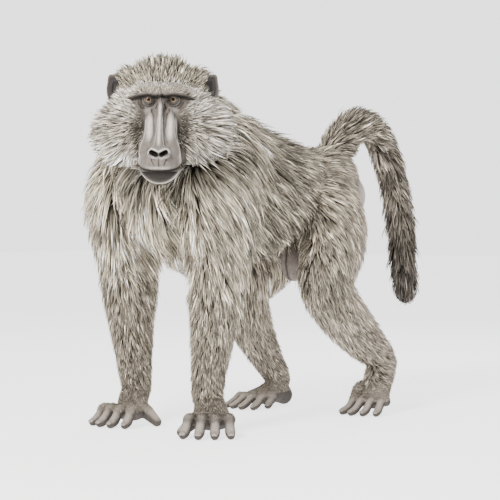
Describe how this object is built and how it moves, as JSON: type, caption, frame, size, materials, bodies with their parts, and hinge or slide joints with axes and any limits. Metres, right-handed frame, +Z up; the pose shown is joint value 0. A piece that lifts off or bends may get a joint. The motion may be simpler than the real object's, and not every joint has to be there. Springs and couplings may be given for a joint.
{
  "type": "baboon",
  "caption": "Life-size still model of a standing male baboon with a heavy mane and a raised, bent tail, its head turned to its left.",
  "frame": {"origin": "on the floor, in the middle of the model's footprint: the bottom centre of its bounding box", "axes": "+Z up, -Y the way the body faces, +Y towards the tail, +X the animal's left side"},
  "size_m": [0.52, 1.2102, 0.8479],
  "materials": {
    "coat": "coarse speckled hair",
    "mane": "long coarse hair",
    "face_and_ruff": "bare face in a ruff of paler hair",
    "hands_and_feet": "dark bare skin",
    "bare_skin": "smooth bare skin",
    "ear_skin": "thin bare skin",
    "eye": "polished glass eye",
    "tail_tip": "dark coarse hair"
  },
  "bodies": {
    "root": {"belly": "coat", "chest": "mane", "ear_left": "ear_skin", "ear_right": "ear_skin", "eye_left": "eye", "eye_right": "eye", "foot_left": "hands_and_feet", "foot_right": "hands_and_feet", "forearm_left": "coat", "forearm_right": "coat", "hand_left": "hands_and_feet", "hand_right": "hands_and_feet", "head": "face_and_ruff", "lower_leg_left": "coat", "lower_leg_right": "coat", "neck": "mane", "rump": "coat", "rump_pad_left": "bare_skin", "rump_pad_right": "bare_skin", "scrotum": "bare_skin", "tail_1": "coat", "tail_2": "coat", "tail_3": "coat", "tail_4": "tail_tip", "thigh_left": "coat", "thigh_right": "coat", "upper_arm_left": "mane", "upper_arm_right": "mane"}
  },
  "joints": []
}
